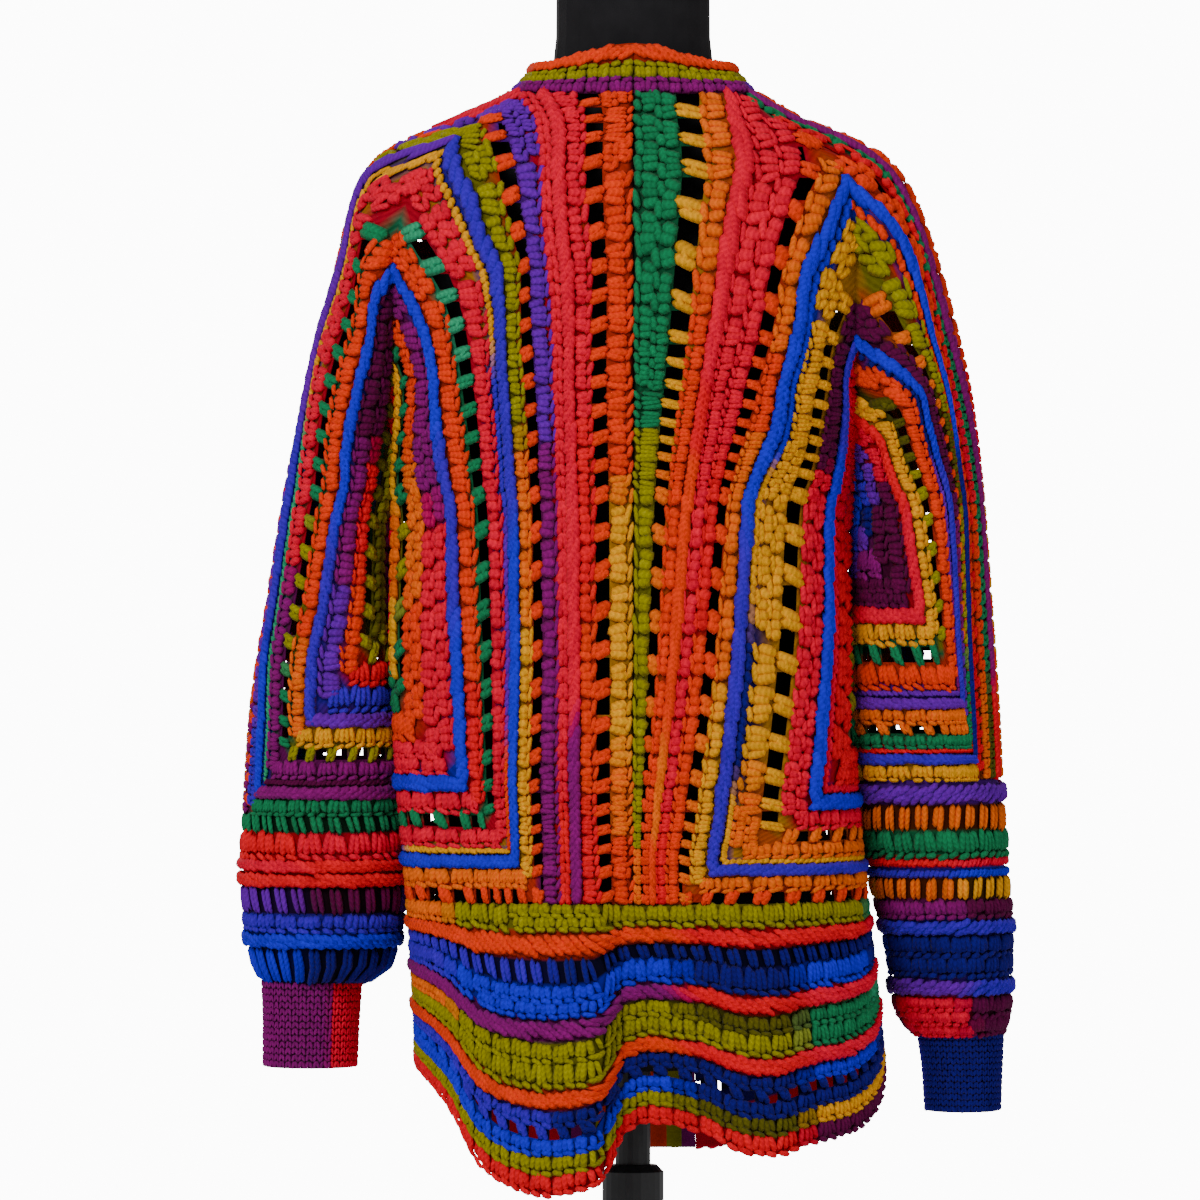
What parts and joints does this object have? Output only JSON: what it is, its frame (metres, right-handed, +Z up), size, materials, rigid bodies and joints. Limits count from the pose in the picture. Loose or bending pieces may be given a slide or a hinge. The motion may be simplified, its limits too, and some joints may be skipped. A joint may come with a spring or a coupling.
{
  "type": "crochet cardigan on a dress form",
  "caption": "Open-front hexagon cardigan in multicolour striped crochet with banded hem and sleeves and knit cuffs, worn by a black limbless dress form on a pole stand.",
  "frame": {"origin": "on the floor, at the middle of the stand's base", "axes": "+Z up, the cardigan's front faces -Y, its left sleeve is at +X"},
  "size_m": [0.559, 0.3632, 1.5563],
  "materials": {
    "wool_left": "chunky plied wool crochet, matt",
    "wool_right": "chunky plied wool crochet, matt",
    "wool_bands": "chunky plied wool crochet, matt",
    "wool_cuffs": "plied wool stocking stitch, matt",
    "form_jersey": "black stretch jersey",
    "stand_black": "satin black"
  },
  "bodies": {
    "root": {"hexagon_back_left": "wool_left", "hexagon_back_right": "wool_right", "hexagon_front_left": "wool_left", "hexagon_front_right": "wool_right", "hem_band": "wool_bands", "sleeve_band_left": "wool_bands", "sleeve_band_right": "wool_bands", "cuff_left": "wool_cuffs", "cuff_right": "wool_cuffs", "front_neck_band_left": "wool_bands", "front_neck_band_right": "wool_bands", "form_torso": "form_jersey", "form_neck_cap": "stand_black", "form_plate": "stand_black", "stand_pole_upper": "stand_black", "stand_collar": "stand_black", "stand_pole_lower": "stand_black", "stand_base": "stand_black"}
  },
  "joints": []
}
